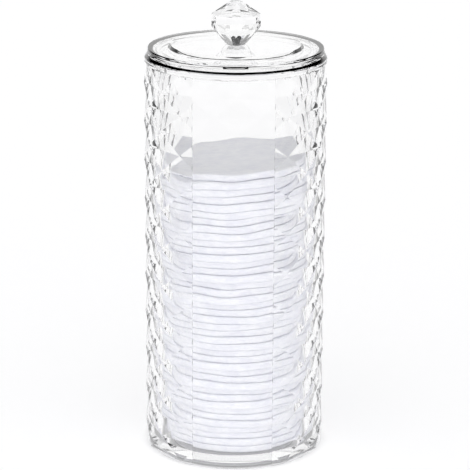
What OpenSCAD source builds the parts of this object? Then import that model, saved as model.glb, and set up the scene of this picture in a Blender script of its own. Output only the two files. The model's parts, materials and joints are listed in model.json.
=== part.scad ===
// A tall clear canister filled with round cotton pads. The round jar has a wall cut
// into diamonds, with a plain smooth window at the front, and its lid lifts
// off by a cut eight-sided knob. The pads lie in one loose stack inside.
// Millimetres, +Z up. The jar stands on Z = 0 with its axis on Z, and the window
// looks along -Y.

/* [Pads] */
// Number of pads in the stack
pad_count = 41; // [20:1:50]
// Mean radius of a pad
pad_r = 28.7; // [22:0.1:32]
// Thickness of the lowest pad, pressed by the stack
pad_low_t = 2.55; // [2:0.05:3]
// Thickness of the top pad
pad_top_t = 2.8; // [2:0.05:3.2]
// How far single pads are pushed out of line
pad_drift = 0.8; // [0:0.1:1.2]
// How much the pads' radii differ from the mean
pad_vary = 0.3; // [0:0.05:0.5]
// Height of a pad's crimped seam at its edge
pad_seam_t = 0.7; // [0.4:0.1:1]
// Width of the rounded border of a pad
pad_border = 2.3; // [1.5:0.1:3.5]
// How far the top pad leans over to the left, in degrees
pad_lean = 4; // [0:0.5:6]

/* [Jar] */
// Free room between a pad's mean radius and the bore
pad_room = 3.15; // [2.4:0.05:9]
// Free height between the top pad and the lid's collar
head_room = 36.4; // [20:0.1:60]
// Wall from the bore to the bottom of the cut in the middle of a diamond
wall_t = 2.1; // [1.4:0.1:3.5]
// How far the ridges between the diamonds stand out of the cuts
diamond_rise = 1.4; // [0.6:0.1:2.2]
// Angle round the jar from a diamond's middle to its side corner
diamond_turn = 16.1; // [10:0.1:18]
// Wanted height of one diamond
diamond_h = 15.3; // [11:0.1:21]
// Floor thickness under the pads
floor_t = 4.0; // [2.5:0.1:6]
// Height of the foot ring below the floor
foot_h = 1.2; // [0.8:0.1:3]
// Width of the foot ring
foot_w = 5.6; // [3.5:0.1:8]
// Height of the plain band at the foot
base_band_h = 1.0; // [0.8:0.1:4]
// Wall of the plain band at the foot
base_band_t = 2.9; // [1.8:0.1:3.5]

/* [Window] */
// Half of the angle that the window spans
window_half_angle = 26.4; // [20:0.1:40]
// Wall thickness in the window
window_t = 2.8; // [1.8:0.1:3.5]

/* [Rim] */
// Height of the plain rim ring
rim_h = 2.3; // [1.8:0.1:7]
// Wall thickness of the rim ring
rim_t = 3.15; // [2.5:0.05:4.5]
// How far the diamonds run up into the rim ring
rim_lap = 0.6; // [0.2:0.1:2]
// Rounding of the rim ring's and the foot's outer edges
edge_round = 0.4; // [0.2:0.1:0.7]

/* [Lid] */
// Thickness of the lid's plate
lid_t = 3.6; // [2:0.1:5]
// How far the plate's foot stays inside the rim ring's edge
lid_inset = 0.1; // [0:0.1:1.5]
// How far the plate's foot flares out past its top edge
plate_flare = 1.1; // [0.2:0.1:1.6]
// Depth of the collar that drops into the bore
collar_h = 3.2; // [2:0.1:7]
// Wall thickness of the collar
collar_t = 2.4; // [1.6:0.1:4]
// Running fit of the collar in the bore, on the radius
collar_fit = 0.35; // [0.3:0.05:0.6]
// Outer radius of the low raised middle of the plate
middle_r = 26; // [18:0.1:30]
// How far the raised middle stands over the plate
middle_h = 1.0; // [0.3:0.1:2]
// Width of the raised middle's sloping border
middle_border = 1.0; // [0.3:0.1:3.5]

/* [Knob] */
// Sides of the cut knob
knob_sides = 8; // [6:1:12]
// Radius over the corners of the knob's upright band
knob_r = 9.4; // [7:0.1:12]
// Height of the upright band
knob_band_h = 5.0; // [3:0.1:8]
// Height of the sloping upper part
knob_crown_h = 4.6; // [3:0.1:8]
// Radius over the corners of the flat on top
knob_table_r = 2.5; // [1.5:0.1:4.5]
// Height of the sloping lower part
knob_taper_h = 6.4; // [4:0.1:9]
// Radius over the corners at the foot of the sloping part
knob_foot_r = 4.0; // [2.8:0.1:5.5]
// Radius of the round stem under the knob
stem_r = 3.5; // [2.5:0.1:4.5]
// Height of the stem that shows between the lid and the knob
stem_h = 0.3; // [0.2:0.1:5]
// Depth of the stem's socket in the lid's plate
socket_h = 0.8; // [0.5:0.1:1]
// Fit of the stem in its socket, on the radius
socket_fit = 0.05; // [0.01:0.01:0.1]

/* [Hidden] */
fine = 128;
flare_steps = 10;

bore_r = pad_r + pad_room;
floor_top = foot_h + floor_t;
stack_h = pad_count * (pad_low_t + pad_top_t) / 2 + pad_r * tan(pad_lean);
jar_h = floor_top + stack_h + head_room + collar_h;

valley_r = bore_r + wall_t;
apex_r = valley_r + diamond_rise;
window_r = bore_r + window_t;
rim_r = bore_r + rim_t;
band_r = bore_r + base_band_t;
rim_low = jar_h - rim_h;
lid_top = jar_h + lid_t + middle_h;

// The diamonds fill the height between the foot band and the rim ring in whole rows.
// Their columns are counted from the middle of the back to both sides of the window.
pattern_low = base_band_h - 0.2;
pattern_top = rim_low + rim_lap;
diamond_rows = round((pattern_top - pattern_low) / diamond_h);
half_row = (pattern_top - pattern_low) / (2 * diamond_rows);
side_columns = ceil((180 - window_half_angle) / diamond_turn);
column_count = 2 * side_columns + 1;
level_count = 2 * diamond_rows + 1;
last_column = column_count - 1;
last_level = level_count - 1;

function polar(r, a, z) = [r * sin(a), -r * cos(a), z];

// A point of the diamond wall. High and low points alternate like the squares of a
// chessboard, and the highest level stays inside the rim ring.
function is_high(i, j) = (i + j + side_columns) % 2 == 1;
function high_r(j) = j == last_level ? min(apex_r, rim_r - edge_round) : apex_r;
function wall_r(i, j) = is_high(i, j) ? high_r(j) : valley_r;
function wall_point(i, j) =
    polar(wall_r(i, j), 180 + (i - side_columns) * diamond_turn, pattern_low + j * half_row);
function wall_index(i, j) = j * column_count + i;

// Each four-cornered cell is folded along the ridge between its two high corners
function cell_faces(i, j) =
    let (
        a = wall_index(i, j),
        b = wall_index(i + 1, j),
        c = wall_index(i + 1, j + 1),
        d = wall_index(i, j + 1)
    )
    is_high(i, j) ? [[a, c, b], [a, d, c]] : [[a, d, b], [b, d, c]];

// The gap in the wall's net at the front is closed flat, where the window goes
module diamond_solid() {
    points = [for (j = [0 : last_level]) for (i = [0 : last_column]) wall_point(i, j)];
    sides = [for (j = [0 : last_level - 1]) for (i = [0 : last_column - 1]) each cell_faces(i, j)];
    front = [
        for (j = [0 : last_level - 1]) each [
            [wall_index(0, j), wall_index(last_column, j), wall_index(0, j + 1)],
            [wall_index(last_column, j), wall_index(last_column, j + 1), wall_index(0, j + 1)]
        ]
    ];
    low = [for (i = [0 : last_column]) i];
    high = [for (i = [0 : last_column]) wall_index(last_column - i, last_level)];
    polyhedron(points, concat(sides, front, [low, high]));
}

// The wedge of space in front of the jar that the window takes
module window_wedge(reach, high) {
    linear_extrude(height = high)
        polygon([
            [0, 0],
            [-reach * tan(window_half_angle), -reach],
            [reach * tan(window_half_angle), -reach]
        ]);
}

// A ring's outline with its two outer corners taken off at an angle
module ring_profile(inner, outer, low, high, bevel_low, bevel_high) {
    polygon([
        [inner, low],
        [outer - bevel_low, low],
        [outer, low + bevel_low],
        [outer, high - bevel_high],
        [outer - bevel_high, high],
        [inner, high]
    ]);
}

module jar() {
    color("aliceblue")
    difference() {
        union() {
            difference() {
                diamond_solid();
                translate([0, 0, -1])
                    window_wedge(2 * apex_r, jar_h + 2);
            }
            intersection() {
                cylinder(h = rim_low, r = window_r, $fn = fine);
                window_wedge(2 * apex_r, jar_h);
            }
            rotate_extrude($fn = fine)
                ring_profile(0, valley_r - 0.4, 0, jar_h - edge_round, edge_round, 0);
            rotate_extrude($fn = fine)
                ring_profile(0, band_r, 0, base_band_h, edge_round, edge_round);
            rotate_extrude($fn = fine)
                ring_profile(0, rim_r, rim_low, jar_h, edge_round, edge_round);
        }
        translate([0, 0, floor_top])
            cylinder(h = jar_h, r = bore_r, $fn = fine);
        translate([0, 0, -1])
            cylinder(h = 1 + foot_h, r = band_r - foot_w, $fn = fine);
    }
}

module lid() {
    plate_r = rim_r - lid_inset;
    plate_top = jar_h + lid_t;
    collar_r = bore_r - collar_fit;
    flare_h = lid_t - edge_round;
    flare_points = [
        for (k = [0 : flare_steps])
            let (u = k / flare_steps)
            [plate_r - plate_flare * (1 - pow(1 - u, 2)), jar_h + u * flare_h]
    ];
    color("azure")
    difference() {
        union() {
            rotate_extrude($fn = fine)
                polygon(concat(
                    [[0, jar_h]],
                    flare_points,
                    [[plate_r - plate_flare - edge_round / 2, plate_top], [0, plate_top]]
                ));
            translate([0, 0, jar_h - collar_h])
                cylinder(h = collar_h + lid_t / 2, r = collar_r, $fn = fine);
            rotate_extrude($fn = fine)
                polygon([
                    [0, jar_h + lid_t / 2],
                    [middle_r, jar_h + lid_t / 2],
                    [middle_r, plate_top],
                    [middle_r - middle_border, lid_top],
                    [0, lid_top]
                ]);
        }
        translate([0, 0, jar_h - collar_h - 1])
            cylinder(h = collar_h + 1, r = collar_r - collar_t, $fn = fine);
        translate([0, 0, lid_top - socket_h])
            cylinder(h = socket_h + 1, r = stem_r + socket_fit, $fn = fine);
    }
}

module knob() {
    taper_low = lid_top + stem_h;
    band_low = taper_low + knob_taper_h;
    crown_low = band_low + knob_band_h;
    color("lightcyan")
    union() {
        translate([0, 0, lid_top - socket_h])
            cylinder(h = socket_h + stem_h + 0.5, r = stem_r, $fn = fine);
        rotate([0, 0, -90]) {
            translate([0, 0, taper_low])
                cylinder(h = knob_taper_h, r1 = knob_foot_r, r2 = knob_r, $fn = knob_sides);
            translate([0, 0, band_low])
                cylinder(h = knob_band_h, r = knob_r, $fn = knob_sides);
            translate([0, 0, crown_low])
                cylinder(h = knob_crown_h, r1 = knob_r, r2 = knob_table_r, $fn = knob_sides);
        }
    }
}

// The pads grow thinner towards the bottom, where the stack presses on them, and
// lean more and more towards the top. Each one's left edge rests on the pad below.
function pad_t(i) = pad_low_t + (pad_top_t - pad_low_t) * (i - 1) / (pad_count - 1);
function pad_angle(i) = pad_lean * pow((i - 1) / (pad_count - 1), 2);
function pad_x(i) = pad_drift * sin(i * 71);
function pad_y(i) = pad_drift * cos(i * 113);
function pad_low(i) = floor_top
    + (i == 1 ? 0 : sum_t(i - 1))
    + (pad_x(i) + pad_r + pad_vary + pad_drift) * tan(pad_angle(i));
function sum_t(i) = (i == 1 ? 0 : sum_t(i - 1)) + pad_t(i) / cos(pad_angle(i));

module cotton_pad(i) {
    r = pad_r + pad_vary * sin(i * 137);
    t = pad_t(i);
    seam_low = (t - pad_seam_t) / 2;
    color("white")
    translate([pad_x(i), pad_y(i), pad_low(i)])
        rotate([0, -pad_angle(i), 0])
            rotate_extrude($fn = 96)
                polygon([
                    [0, 0],
                    [r - pad_border, 0],
                    [r - pad_border * 0.3, seam_low * 0.45],
                    [r, seam_low],
                    [r, seam_low + pad_seam_t],
                    [r - pad_border * 0.3, t - seam_low * 0.45],
                    [r - pad_border, t],
                    [0, t]
                ]);
}

function pad_name(i) = str("cotton_pad_", i < 10 ? "0" : "", i);

jar();
lid();
knob();
for (i = [1 : pad_count])
    cotton_pad(i);
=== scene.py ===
"""Looks of a tall clear canister filled with round cotton pads.

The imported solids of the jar, lid and knob keep their own cut faces and get clear
plastic finishes. The cotton pads are soft discs worked out here, which lie in each
other's hollows. Lengths are in millimetres until they enter Blender, +Z is up and
the jar's window looks along -Y.
"""

import json
import logging
import math
from dataclasses import dataclass
from enum import Enum

import bpy
import numpy as np
from mathutils import Matrix, Vector

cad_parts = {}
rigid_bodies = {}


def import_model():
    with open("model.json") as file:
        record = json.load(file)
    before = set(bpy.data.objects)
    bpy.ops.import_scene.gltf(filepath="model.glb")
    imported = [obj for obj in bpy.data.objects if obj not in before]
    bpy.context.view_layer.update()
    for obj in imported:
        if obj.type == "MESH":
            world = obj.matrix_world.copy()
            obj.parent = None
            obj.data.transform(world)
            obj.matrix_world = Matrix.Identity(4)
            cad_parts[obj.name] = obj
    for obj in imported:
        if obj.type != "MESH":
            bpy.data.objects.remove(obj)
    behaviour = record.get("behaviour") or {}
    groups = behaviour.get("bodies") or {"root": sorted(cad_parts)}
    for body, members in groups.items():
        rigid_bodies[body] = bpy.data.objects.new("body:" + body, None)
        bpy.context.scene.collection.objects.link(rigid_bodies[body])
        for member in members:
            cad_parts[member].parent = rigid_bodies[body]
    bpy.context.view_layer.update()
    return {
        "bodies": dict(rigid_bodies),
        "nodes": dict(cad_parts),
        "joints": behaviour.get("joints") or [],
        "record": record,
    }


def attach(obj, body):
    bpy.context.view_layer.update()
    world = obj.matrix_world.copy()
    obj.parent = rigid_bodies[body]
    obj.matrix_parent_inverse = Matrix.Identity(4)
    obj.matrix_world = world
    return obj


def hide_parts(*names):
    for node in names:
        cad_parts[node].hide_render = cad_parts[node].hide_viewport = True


MM = 0.001
WHITE = (1.0, 1.0, 1.0, 1.0)
LOG = logging.getLogger("canister")


class Body(Enum):
    """The rigid body that the pads ride on."""

    JAR = "jar"


class Slot(Enum):
    """The record's material slots."""

    JAR = "jar_plastic"
    LID = "lid_plastic"
    KNOB = "knob_plastic"
    COTTON = "cotton"


# Shader groups and finishes


class NodeDesk:
    """Places and wires nodes in one node tree."""

    def __init__(self, tree: bpy.types.NodeTree) -> None:
        """Takes the tree that the nodes go into.

        Args:
            tree: a material's, world's or group's node tree.
        """
        self.tree = tree

    def add(self, kind: str, **settings: object) -> bpy.types.Node:
        """Adds a node and sets its plain properties.

        Args:
            kind: the node's type name.
            **settings: properties of the node and their values.

        Returns:
            The new node.
        """
        node = self.tree.nodes.new(kind)
        for name, value in settings.items():
            setattr(node, name, value)
        return node

    def link(self, source: bpy.types.NodeSocket, target: bpy.types.NodeSocket) -> None:
        """Wires one socket to another."""
        self.tree.links.new(source, target)

    def feed(self, value: object, target: bpy.types.NodeSocket) -> None:
        """Wires a socket to a target, or sets the target to a number.

        Args:
            value: a socket or a number.
            target: the input that takes it.
        """
        if isinstance(value, bpy.types.NodeSocket):
            self.link(value, target)
        else:
            target.default_value = value

    def math(self, operation: str, a: object, b: object = 0.0) -> bpy.types.NodeSocket:
        """Adds a maths node.

        Args:
            operation: the maths operation.
            a: a socket or a number.
            b: a socket or a number.

        Returns:
            The result's socket.
        """
        node = self.add("ShaderNodeMath", operation=operation)
        self.feed(a, node.inputs[0])
        self.feed(b, node.inputs[1])
        return node.outputs[0]

    def noise(self, place: bpy.types.NodeSocket, scale: object, detail: float = 2.0,
              roughness: float = 0.5) -> bpy.types.Node:
        """Adds a noise that is read at a place.

        Args:
            place: the socket with the place.
            scale: a socket or a number, counted per metre.
            detail: the number of finer layers.
            roughness: the strength of each finer layer.

        Returns:
            The noise node.
        """
        node = self.add("ShaderNodeTexNoise")
        self.link(place, node.inputs["Vector"])
        self.feed(scale, node.inputs["Scale"])
        node.inputs["Detail"].default_value = detail
        node.inputs["Roughness"].default_value = roughness
        return node

    def span(self, value: bpy.types.NodeSocket, low: float, high: float,
             start: float = 0.0, end: float = 1.0) -> bpy.types.NodeSocket:
        """Maps a range of values smoothly onto another.

        Args:
            value: the socket to map.
            low: the value that gives start.
            high: the value that gives end.
            start: the result at low.
            end: the result at high.

        Returns:
            The mapped value's socket.
        """
        node = self.add("ShaderNodeMapRange", interpolation_type="SMOOTHSTEP")
        self.link(value, node.inputs["Value"])
        for name, number in (("From Min", low), ("From Max", high), ("To Min", start), ("To Max", end)):
            node.inputs[name].default_value = number
        return node.outputs[0]


def new_group(name: str, inputs: dict[str, float], outputs: dict[str, str]) -> bpy.types.NodeTree:
    """Makes an empty shader group with named sockets.

    Args:
        name: the group's name.
        inputs: input names and default values, all plain numbers.
        outputs: output names and socket types.

    Returns:
        The group, with its input and output nodes placed.
    """
    group = bpy.data.node_groups.new(name, "ShaderNodeTree")
    for title, value in inputs.items():
        socket = group.interface.new_socket(name=title, in_out="INPUT", socket_type="NodeSocketFloat")
        socket.default_value = value
    for title, kind in outputs.items():
        group.interface.new_socket(name=title, in_out="OUTPUT", socket_type=kind)
    group.nodes.new("NodeGroupInput")
    group.nodes.new("NodeGroupOutput")
    return group


def mould_ripple_group() -> bpy.types.NodeTree:
    """Builds the group that gives moulded plastic its faint waviness and handling marks.

    The height is a slow noise plus a small share of a quicker one. Where a third, fine
    noise comes near its peaks, it adds specks to the roughness.

    Returns:
        The shader group.
    """
    quick_rate = 5.3
    quick_share = 0.12
    speck_scale = 900.0
    speck_start = 0.66
    speck_full = 0.78
    group = new_group(
        "Mould ripple",
        {"Scale": 60.0, "Ripple": 0.5, "Speck": 0.02, "Base Roughness": 0.01},
        {"Height": "NodeSocketFloat", "Roughness": "NodeSocketFloat"},
    )
    desk = NodeDesk(group)
    into, out = group.nodes[0], group.nodes[1]
    place = desk.add("ShaderNodeTexCoord").outputs["Object"]
    slow = desk.noise(place, into.outputs["Scale"], detail=1.0)
    quick = desk.noise(place, desk.math("MULTIPLY", into.outputs["Scale"], quick_rate))
    height = desk.math("ADD", slow.outputs["Fac"], desk.math("MULTIPLY", quick.outputs["Fac"], quick_share))
    desk.link(desk.math("MULTIPLY", height, into.outputs["Ripple"]), out.inputs["Height"])
    fine = desk.noise(place, speck_scale, detail=3.0)
    spots = desk.span(fine.outputs["Fac"], speck_start, speck_full)
    specks = desk.math("MULTIPLY", spots, into.outputs["Speck"])
    desk.link(desk.math("ADD", into.outputs["Base Roughness"], specks), out.inputs["Roughness"])
    return group


def cotton_fibre_group() -> bpy.types.NodeTree:
    """Builds the group that gives pressed cotton its fibres, tufts and faint shade.

    Fine noise drawn out along warped threads makes the fibres, and a slower noise
    makes soft tufts. The height is the fibres plus a share of the tufts, and the shade
    is a weighted sum of both.

    Returns:
        The shader group.
    """
    warp_scale = 120.0
    warp_reach = (4.0 * MM, 4.0 * MM, 2.0 * MM)
    thread_stretch = (0.35, 1.0, 1.6)
    thread_turn = 0.6
    fibre_weight = 0.6
    tuft_weight = 0.4
    shade_start = 0.36
    shade_full = 0.62
    group = new_group(
        "Cotton fibre",
        {"Fibre Scale": 900.0, "Tuft Scale": 160.0, "Tuft Share": 0.5},
        {"Height": "NodeSocketFloat", "Shade": "NodeSocketFloat"},
    )
    desk = NodeDesk(group)
    into, out = group.nodes[0], group.nodes[1]
    place = desk.add("ShaderNodeTexCoord").outputs["Object"]
    bend = desk.add("ShaderNodeVectorMath", operation="MULTIPLY_ADD")
    desk.link(desk.noise(place, warp_scale).outputs["Color"], bend.inputs[0])
    bend.inputs[1].default_value = warp_reach
    desk.link(place, bend.inputs[2])
    drawn = desk.add("ShaderNodeMapping")
    drawn.inputs["Scale"].default_value = thread_stretch
    drawn.inputs["Rotation"].default_value = (0.0, 0.0, thread_turn)
    desk.link(bend.outputs[0], drawn.inputs["Vector"])
    threads = desk.noise(drawn.outputs[0], into.outputs["Fibre Scale"], detail=4.0, roughness=0.65)
    fibre = threads.outputs["Fac"]
    tuft = desk.noise(bend.outputs[0], into.outputs["Tuft Scale"]).outputs["Fac"]
    raised_tuft = desk.math("MULTIPLY", tuft, into.outputs["Tuft Share"])
    desk.link(desk.math("ADD", fibre, raised_tuft), out.inputs["Height"])
    fibre_shade = desk.math("MULTIPLY", fibre, fibre_weight)
    tuft_shade = desk.math("MULTIPLY", tuft, tuft_weight)
    shades = desk.math("ADD", fibre_shade, tuft_shade)
    desk.link(desk.span(shades, shade_start, shade_full), out.inputs["Shade"])
    return group


@dataclass(frozen=True)
class ClearPlastic:
    """Clear polished acrylic, with the depth of its ripple in millimetres."""

    name: str
    bend: float = 1.49
    base_roughness: float = 0.0
    speck: float = 0.03
    ripple_scale: float = 70.0
    ripple_depth: float = 0.01

    def make(self, ripple: bpy.types.NodeTree) -> bpy.types.Material:
        """Builds the material.

        Args:
            ripple: the mould ripple group.

        Returns:
            The finished material.
        """
        material = bpy.data.materials.new(self.name)
        material.use_nodes = True
        desk = NodeDesk(material.node_tree)
        shader = material.node_tree.nodes["Principled BSDF"]
        shader.inputs["Base Color"].default_value = WHITE
        shader.inputs["Transmission Weight"].default_value = 1.0
        shader.inputs["IOR"].default_value = self.bend
        group = desk.add("ShaderNodeGroup", node_tree=ripple)
        group.inputs["Scale"].default_value = self.ripple_scale
        group.inputs["Ripple"].default_value = 1.0
        group.inputs["Speck"].default_value = self.speck
        group.inputs["Base Roughness"].default_value = self.base_roughness
        bump = desk.add("ShaderNodeBump")
        bump.inputs["Strength"].default_value = 1.0
        bump.inputs["Distance"].default_value = self.ripple_depth * MM
        desk.link(group.outputs["Height"], bump.inputs["Height"])
        desk.link(bump.outputs["Normal"], shader.inputs["Normal"])
        desk.link(group.outputs["Roughness"], shader.inputs["Roughness"])
        return material


@dataclass(frozen=True)
class PressedCotton:
    """Soft bleached cotton, pressed into pads, with its depths in millimetres."""

    name: str
    light: tuple[float, float, float] = (0.91, 0.915, 0.96)
    shade: tuple[float, float, float] = (0.82, 0.825, 0.895)
    roughness: float = 0.95
    gloss: float = 0.15
    down: float = 0.25
    down_roughness: float = 0.6
    soft_share: float = 0.35
    soft_depth: float = 2.0
    relief: float = 0.6
    fibre_depth: float = 0.35

    def make(self, fibre: bpy.types.NodeTree) -> bpy.types.Material:
        """Builds the material.

        Args:
            fibre: the cotton fibre group.

        Returns:
            The finished material.
        """
        material = bpy.data.materials.new(self.name)
        material.use_nodes = True
        desk = NodeDesk(material.node_tree)
        shader = material.node_tree.nodes["Principled BSDF"]
        shader.inputs["Roughness"].default_value = self.roughness
        shader.inputs["Specular IOR Level"].default_value = self.gloss
        shader.inputs["Sheen Weight"].default_value = self.down
        shader.inputs["Sheen Roughness"].default_value = self.down_roughness
        shader.inputs["Subsurface Weight"].default_value = self.soft_share
        shader.inputs["Subsurface Scale"].default_value = self.soft_depth * MM
        shader.inputs["Subsurface Radius"].default_value = (1.0, 1.0, 1.0)
        group = desk.add("ShaderNodeGroup", node_tree=fibre)
        mix = desk.add("ShaderNodeMix", data_type="RGBA")
        dark, pale, mixed = mix.inputs[6], mix.inputs[7], mix.outputs[2]
        desk.link(group.outputs["Shade"], mix.inputs["Factor"])
        dark.default_value = (*self.shade, 1.0)
        pale.default_value = (*self.light, 1.0)
        desk.link(mixed, shader.inputs["Base Color"])
        bump = desk.add("ShaderNodeBump")
        bump.inputs["Strength"].default_value = self.relief
        bump.inputs["Distance"].default_value = self.fibre_depth * MM
        desk.link(group.outputs["Height"], bump.inputs["Height"])
        desk.link(bump.outputs["Normal"], shader.inputs["Normal"])
        return material


@dataclass(frozen=True)
class Finishes:
    """All the finishes of the canister, made once."""

    jar: bpy.types.Material
    lid: bpy.types.Material
    knob: bpy.types.Material
    cotton: bpy.types.Material

    @classmethod
    def make(cls) -> "Finishes":
        """Builds the groups and the materials.

        Returns:
            The set of finishes.
        """
        ripple = mould_ripple_group()
        return cls(
            jar=ClearPlastic("clear jar plastic").make(ripple),
            lid=ClearPlastic("clear lid plastic").make(ripple),
            knob=ClearPlastic("clear cut knob plastic", ripple_depth=0.0).make(ripple),
            cotton=PressedCotton("pressed cotton").make(cotton_fibre_group()),
        )


# Meshes


def put_mesh(name: str, points: np.ndarray, faces: list, material: bpy.types.Material,
             smooth: bool = True) -> bpy.types.Object:
    """Puts points and faces into a new object at the origin.

    Args:
        name: the piece's name.
        points: an array of points in millimetres.
        faces: lists of point numbers, turning left seen from outside.
        material: the piece's finish.
        smooth: whether the faces are shaded smooth.

    Returns:
        The new object.
    """
    mesh = bpy.data.meshes.new(name)
    mesh.from_pydata((points * MM).tolist(), [], faces)
    mesh.polygons.foreach_set("use_smooth", np.full(len(mesh.polygons), smooth))
    mesh.materials.append(material)
    mesh.update()
    piece = bpy.data.objects.new(name, mesh)
    bpy.context.scene.collection.objects.link(piece)
    return piece


def closed_disc_faces(rows: int, columns: int) -> list:
    """Faces of a surface of rings closed by a point at both ends.

    Point 0 is the lower pole, then come the rings from the lower to the upper one,
    and the last point is the upper pole.

    Args:
        rows: the number of rings.
        columns: points in each ring.

    Returns:
        A list of faces that turn left seen from outside.
    """
    ring = np.arange(columns)
    after = (ring + 1) % columns
    start = 1 + columns * np.arange(rows - 1)[:, None]
    above = start + columns
    quads = np.stack([start + ring, start + after, above + after, above + ring], axis=-1)
    top = 1 + columns * rows
    last = 1 + columns * (rows - 1)
    low = np.stack([np.zeros(columns, int), 1 + after, 1 + ring], axis=-1)
    high = np.stack([np.full(columns, top), last + ring, last + after], axis=-1)
    return quads.reshape(-1, 4).tolist() + low.tolist() + high.tolist()


# The pieces


@dataclass
class ClearPiece:
    """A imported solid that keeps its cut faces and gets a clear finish."""

    node: str
    slot: Slot

    def dress(self, frame: dict, material: bpy.types.Material) -> None:
        """Gives the node its finish.

        Args:
            material: the finish.
        """
        piece = frame["nodes"][self.node]
        piece.data.materials.clear()
        piece.data.materials.append(material)
        LOG.info("%s: %d faces", self.node, len(piece.data.polygons))


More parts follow.
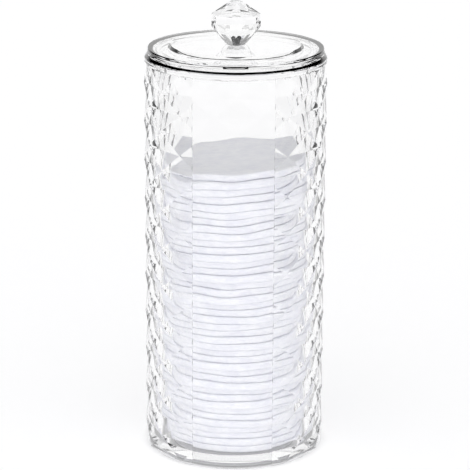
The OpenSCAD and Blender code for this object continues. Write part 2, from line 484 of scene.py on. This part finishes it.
@dataclass
class PadStack:
    """The loose stack of cotton pads.

    The sizes up to the floor's height are those of the plain solids. Then come the
    border's roundness, the uneven outline, the waves of the faces, the air left at
    each face, the fill of a pad, the mesh's columns and rows, and the random seeds.
    Turns from pad to pad are in degrees, and the waves' turn is in radians.
    """

    count: int = 41
    radius: float = 28.7
    low_t: float = 2.55
    top_t: float = 2.8
    drift: float = 0.8
    drift_turn_x: float = 71.0
    drift_turn_y: float = 113.0
    vary: float = 0.3
    vary_turn: float = 137.0
    lean_deg: float = 4.0
    floor_top: float = 5.2
    border: float = 1.3
    border_power: float = 0.5
    uneven: float = 0.22
    uneven_fade: float = 0.7
    uneven_orders: tuple[int, int] = (2, 9)
    waves: int = 14
    wave_length: tuple[float, float] = (11.0, 34.0)
    wave_turn: float = 0.75
    middle_wave: float = 0.05
    edge_wave: float = 0.19
    settled_faces: float = 3.0
    air: float = 0.01
    fill: float = 0.7
    columns: int = 144
    border_rows: int = 9
    inner_rows: int = 5
    seed: int = 7
    seed_step: int = 100

    def angles(self) -> np.ndarray:
        """Lean of every pad in radians: it grows with the square of the pad's place."""
        place = np.arange(self.count) / (self.count - 1)
        return np.radians(self.lean_deg * place ** 2)

    def thickness(self) -> np.ndarray:
        """Thickness of every pad: it grows evenly from the lowest to the top one."""
        return np.linspace(self.low_t, self.top_t, self.count)

    def centres(self) -> np.ndarray:
        """Middle of every pad's lower face.

        In x and y each pad drifts by the sine and cosine of its number's turn. Its
        height is the floor, plus the pads under it measured along the axis, plus what
        the lean lifts its middle above the stack's lowest edge.

        Returns:
            An array with a row of x, y and z for every pad.
        """
        number = np.arange(1, self.count + 1)
        x = self.drift * np.sin(np.radians(number * self.drift_turn_x))
        y = self.drift * np.cos(np.radians(number * self.drift_turn_y))
        under = np.concatenate([[0.0], np.cumsum(self.thickness() / np.cos(self.angles()))[:-1]])
        z = self.floor_top + under + (x + self.radius + self.vary + self.drift) * np.tan(self.angles())
        return np.stack([x, y, z], axis=1)

    def ripples(self) -> tuple[np.ndarray, ...]:
        """Random wave numbers and phases that all the pads' faces share.

        Returns:
            The waves' x and y wave numbers, their phases, and how far each phase moves
            from one face to the next.
        """
        rng = np.random.default_rng(self.seed)
        length = rng.uniform(*self.wave_length, self.waves)
        heading = rng.uniform(0.0, 2 * np.pi, self.waves)
        phase = rng.uniform(0.0, 2 * np.pi, self.waves)
        turn = rng.normal(0.0, self.wave_turn, self.waves)
        return 2 * np.pi * np.cos(heading) / length, 2 * np.pi * np.sin(heading) / length, phase, turn

    def wave(self, face: float, x: np.ndarray, y: np.ndarray) -> np.ndarray:
        """Height of the waves of one face between two pads.

        The sum of plane waves, whose phases move a little from face to face so that
        neighbours nest, grows with the square of the distance from the axis, and is
        held down near the floor.

        Args:
            face: number of the face, 0 at the floor.
            x: places in x.
            y: places in y.

        Returns:
            The heights in millimetres.
        """
        kx, ky, phase, turn = self.ripples()
        argument = x[..., None] * kx + y[..., None] * ky + phase + face * turn
        total = np.sin(argument).sum(-1) / math.sqrt(self.waves)
        reach = (x ** 2 + y ** 2) / self.radius ** 2
        settle = min(1.0, face / self.settled_faces)
        return settle * total * (self.middle_wave + self.edge_wave * reach)

    def pad_points(self, place: int, centre: np.ndarray, angle: float, thickness: float) -> np.ndarray:
        """Points of one pad, from its lower to its upper pole.

        The outline is a circle plus a few cosine waves around it, weaker the shorter
        they are. Each ring has a distance from the middle and a share of the thickness:
        flat inner rings carry the two faces, and the border is a half superellipse, the
        cosine and sine of a half turn raised to one power. Then the pad's faces take
        the waves, and the whole pad leans about Y and moves to its place.

        Args:
            place: number of the pad, 0 at the floor.
            centre: middle of its lower face.
            angle: its lean in radians.
            thickness: its thickness.

        Returns:
            An array of points in millimetres.
        """
        rng = np.random.default_rng(self.seed * self.seed_step + place)
        turn = np.linspace(0.0, 2 * np.pi, self.columns, endpoint=False)
        orders = np.arange(*self.uneven_orders)[:, None]
        phase = rng.uniform(0.0, 2 * np.pi, orders.shape)
        size = rng.normal(0.0, self.uneven, orders.shape)
        outline = (np.cos(orders * turn + phase) * size / orders ** self.uneven_fade).sum(0)
        radius = self.radius + self.vary * math.sin(math.radians((place + 1) * self.vary_turn)) + outline
        sweep = np.linspace(-np.pi / 2, np.pi / 2, 2 * self.border_rows + 1)
        out = np.abs(np.cos(sweep)) ** self.border_power
        up = np.sign(np.sin(sweep)) * np.abs(np.sin(sweep)) ** self.border_power
        inner = np.linspace(0.0, 1.0, self.inner_rows + 2)[1:-1]
        flat = radius[None, :] - self.border
        rings = np.concatenate([
            inner[:, None] * flat,
            flat + self.border * out[:, None],
            inner[::-1, None] * flat,
        ])
        level = np.concatenate([-np.ones(self.inner_rows), up, np.ones(self.inner_rows)])[:, None]
        x, y = rings * np.cos(turn), rings * np.sin(turn)
        low = self.wave(place, x + centre[0], y + centre[1])
        high = self.wave(place + 1, x + centre[0], y + centre[1])
        share = (level + 1) / 2
        z = self.air + share * (thickness - 2 * self.air) + low * (1 - share) + high * share
        body = np.stack([x, y, z], axis=-1).reshape(-1, 3)
        middle = np.array(centre[0]), np.array(centre[1])
        low_pole = [[0.0, 0.0, self.air + float(self.wave(place, *middle))]]
        high_pole = [[0.0, 0.0, thickness - self.air + float(self.wave(place + 1, *middle))]]
        points = np.concatenate([low_pole, body, high_pole])
        cos, sin = math.cos(angle), math.sin(angle)
        leaned = np.stack([points[:, 0] * cos - points[:, 2] * sin, points[:, 1],
                           points[:, 0] * sin + points[:, 2] * cos], axis=1)
        return leaned + centre

    def build(self, material: bpy.types.Material) -> None:
        """Makes every pad in place of its plain solid.

        Args:
            material: the cotton finish.
        """
        rows = 2 * self.inner_rows + 2 * self.border_rows + 1
        faces = closed_disc_faces(rows, self.columns)
        shapes = zip(self.centres(), self.angles(), self.thickness())
        for place, (centre, angle, thickness) in enumerate(shapes):
            name = f"cotton_pad_{place + 1:02d}"
            points = self.pad_points(place, centre, float(angle), float(thickness))
            piece = put_mesh(f"soft_{name}", points, faces, material)
            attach(piece, Body.JAR.value)
            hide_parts(name)
        LOG.info("pad stack: %d pads, %d faces each", self.count, len(faces))


# Surroundings


@dataclass
class Studio:
    """The surroundings, the floor and the camera.

    The camera's sizes come first. The flags and the room are shares of a direction's
    X and Y, and the lights are strengths for the world's directions. The floor glows
    so that it stays evenly white, and it glows less under the jar than outside as a
    painted shadow, which changes over between the two shade radii.
    """

    focal_px: float = 2095.0
    frame_px: float = 470.0
    sensor: float = 36.0
    pitch_deg: float = 16.72
    distance: float = 847.0
    rise: float = 81.16
    turn_deg: float = 1.3
    roll_deg: float = 0.27
    view_reach: float = 50000.0
    flag_start: float = 0.5
    flag_end: float = 0.7
    room_start: float = 0.0
    room_end: float = 0.4
    even_light: float = 0.74
    front_light: float = 0.68
    high_light: float = 0.03
    left_light: float = 0.05
    floor_reach: float = 4000.0
    floor_colour: tuple[float, float, float] = (0.62, 0.62, 0.63)
    # Painted shadow: the floor's glow is weaker under the jar and changes over between these radii.
    shade_start: float = 29.0
    shade_end: float = 38.0
    painted_shadow_glow: float = 0.12
    open_glow: float = 0.53
    clear_walls: int = 24
    mirrorings: int = 12
    soft_bounces: int = 5

    def world(self) -> None:
        """Sets up the world.

        Rays from the camera see plain white. Seen through or mirrored in the plastic,
        the surroundings are white with a dark flag on each side and a dark room
        behind the camera. What lights the cotton is white, stronger from the front.
        """
        world = bpy.data.worlds.new("studio")
        bpy.context.scene.world = world
        world.use_nodes = True
        world.node_tree.nodes.clear()
        desk = NodeDesk(world.node_tree)
        path = desk.add("ShaderNodeLightPath")
        heading = desk.add("ShaderNodeSeparateXYZ")
        desk.link(desk.add("ShaderNodeTexCoord").outputs["Generated"], heading.inputs[0])
        sideways = desk.math("ABSOLUTE", heading.outputs["X"])
        flags = desk.math(
            "MULTIPLY",
            desk.span(sideways, self.flag_start, self.flag_end, 1.0, 0.0),
            desk.span(heading.outputs["Y"], -self.room_end, -self.room_start, 0.0, 1.0),
        )
        shares = (("Y", -self.front_light), ("Z", self.high_light), ("X", -self.left_light))
        light = self.even_light
        for axis, share in shares:
            light = desk.math("ADD", desk.math("MULTIPLY", heading.outputs[axis], share), light)
        camera = path.outputs["Is Camera Ray"]
        through = desk.math("MAXIMUM", path.outputs["Is Glossy Ray"], path.outputs["Is Transmission Ray"])
        unscattered = desk.math("LESS_THAN", path.outputs["Diffuse Depth"], 0.5)
        is_seen = desk.math("MAXIMUM", camera, desk.math("MULTIPLY", through, unscattered))
        seen = desk.math("MULTIPLY", is_seen, desk.math("MAXIMUM", flags, camera))
        lit = desk.math("MULTIPLY", desk.math("SUBTRACT", 1.0, is_seen), light)
        background = desk.add("ShaderNodeBackground")
        background.inputs["Color"].default_value = WHITE
        desk.link(desk.math("ADD", lit, seen), background.inputs["Strength"])
        out = desk.add("ShaderNodeOutputWorld")
        desk.link(background.outputs[0], out.inputs[0])

    def floor(self) -> None:
        """Makes the pale floor, whose matt part keeps a soft shadow and whose glow is dimmed under the jar
        as a painted shadow.
        """
        reach = self.floor_reach
        corners = [[-reach, -reach, 0.0], [reach, -reach, 0.0], [reach, reach, 0.0], [-reach, reach, 0.0]]
        material = bpy.data.materials.new("pale floor")
        material.use_nodes = True
        material.node_tree.nodes.clear()
        desk = NodeDesk(material.node_tree)
        matt = desk.add("ShaderNodeBsdfDiffuse")
        matt.inputs["Color"].default_value = (*self.floor_colour, 1.0)
        glow = desk.add("ShaderNodeEmission")
        glow.inputs["Color"].default_value = WHITE
        place = desk.add("ShaderNodeVectorMath", operation="LENGTH")
        desk.link(desk.add("ShaderNodeTexCoord").outputs["Object"], place.inputs[0])
        # The glow dims towards the jar's foot, a painted shadow on top of the real shadow in the matt part.
        near, far = self.shade_start * MM, self.shade_end * MM
        strength = desk.span(place.outputs["Value"], near, far, self.painted_shadow_glow, self.open_glow)
        desk.link(strength, glow.inputs["Strength"])
        both = desk.add("ShaderNodeAddShader")
        desk.link(matt.outputs[0], both.inputs[0])
        desk.link(glow.outputs[0], both.inputs[1])
        out = desk.add("ShaderNodeOutputMaterial")
        desk.link(both.outputs[0], out.inputs[0])
        floor = put_mesh("floor", np.array(corners), [[0, 1, 2, 3]], material, smooth=False)

    def camera(self) -> None:
        """Places the camera at the photograph's angle.

        From the middle of the jar's foot it goes back by the distance against its own
        view, which looks down by the pitch, and up by the rise along its own upright.
        Then it rolls about its view and turns about the jar's axis.
        """
        pitch = math.radians(self.pitch_deg)
        roll = math.radians(self.roll_deg)
        ahead = Vector((0.0, math.cos(pitch), -math.sin(pitch)))
        upright = Vector((0.0, math.sin(pitch), math.cos(pitch)))
        across = Vector((1.0, 0.0, 0.0))
        spot = (upright * self.rise - ahead * self.distance) * MM
        right = across * math.cos(roll) + upright * math.sin(roll)
        up = upright * math.cos(roll) - across * math.sin(roll)
        place = Matrix((
            (right.x, up.x, -ahead.x, spot.x),
            (right.y, up.y, -ahead.y, spot.y),
            (right.z, up.z, -ahead.z, spot.z),
            (0.0, 0.0, 0.0, 1.0),
        ))
        data = bpy.data.cameras.new("camera")
        data.sensor_width = self.sensor
        data.lens = self.sensor * self.focal_px / self.frame_px
        data.clip_end = self.view_reach * MM
        camera = bpy.data.objects.new("camera", data)
        bpy.context.scene.collection.objects.link(camera)
        camera.matrix_world = Matrix.Rotation(math.radians(self.turn_deg), 4, "Z") @ place
        bpy.context.scene.camera = camera

    def light_paths(self) -> None:
        """Lets light pass through as many clear walls as a view through the canister crosses."""
        cycles = bpy.context.scene.cycles
        cycles.max_bounces = self.clear_walls
        cycles.transmission_bounces = self.clear_walls
        cycles.glossy_bounces = self.mirrorings
        cycles.diffuse_bounces = self.soft_bounces
        cycles.blur_glossy = 0.0
        bpy.context.scene.view_settings.view_transform = "Standard"

    def build(self) -> None:
        """Sets up the surroundings."""
        self.world()
        self.floor()
        self.camera()
        self.light_paths()
        LOG.info("studio: ready")


def main() -> None:
    """Builds the canister's looks in order."""
    logging.basicConfig(level=logging.INFO, format="%(name)s %(message)s")
    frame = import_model()
    finishes = Finishes.make()
    ClearPiece("jar", Slot.JAR).dress(frame, finishes.jar)
    ClearPiece("lid", Slot.LID).dress(frame, finishes.lid)
    ClearPiece("knob", Slot.KNOB).dress(frame, finishes.knob)
    PadStack().build(finishes.cotton)
    Studio().build()


if __name__ == "__main__":
    main()
